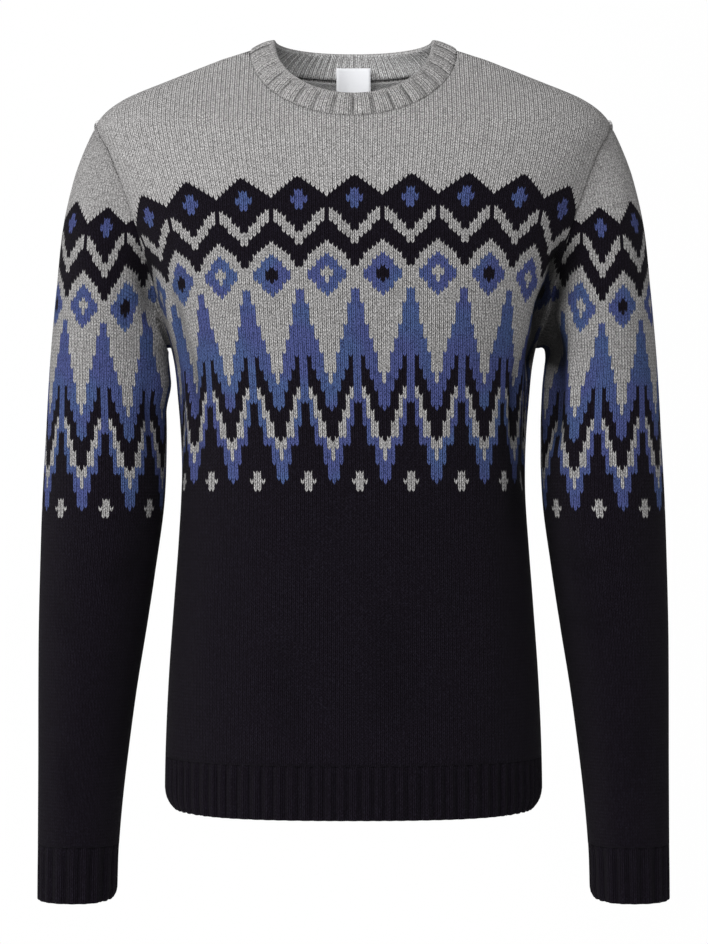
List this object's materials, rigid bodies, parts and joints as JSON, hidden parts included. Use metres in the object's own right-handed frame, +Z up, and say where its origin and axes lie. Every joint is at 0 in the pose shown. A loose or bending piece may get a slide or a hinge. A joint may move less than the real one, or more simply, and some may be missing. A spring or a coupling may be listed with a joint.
{
  "type": "fair isle jumper, worn form with no wearer",
  "caption": "Knitted crew-neck jumper with long sleeves, filled out as on a wearer, with a banded fair isle pattern round the chest and upper arms and ribbed edges.",
  "frame": {"origin": "level with the high point of the shoulders, midway between the side seams, inside the neck opening, where the wearer's neck holds the garment", "axes": "+Z up from hem to neck, -Y out of the garment's front, +X towards its left sleeve"},
  "size_m": [0.554, 0.247, 0.7549],
  "materials": {
    "patterned_knit": "brushed wool jersey, stranded in grey marl, blue and night navy",
    "grey_rib": "two by two rib in grey marl wool",
    "navy_rib": "two by two rib in night navy wool",
    "label_tape": "plain woven tape with a soft sheen"
  },
  "bodies": {
    "root": {"front": "patterned_knit", "back": "patterned_knit", "sleeve_left": "patterned_knit", "sleeve_right": "patterned_knit", "neckband": "grey_rib", "hem_front": "navy_rib", "hem_back": "navy_rib", "cuff_left": "navy_rib", "cuff_right": "navy_rib", "label": "label_tape"}
  },
  "joints": []
}
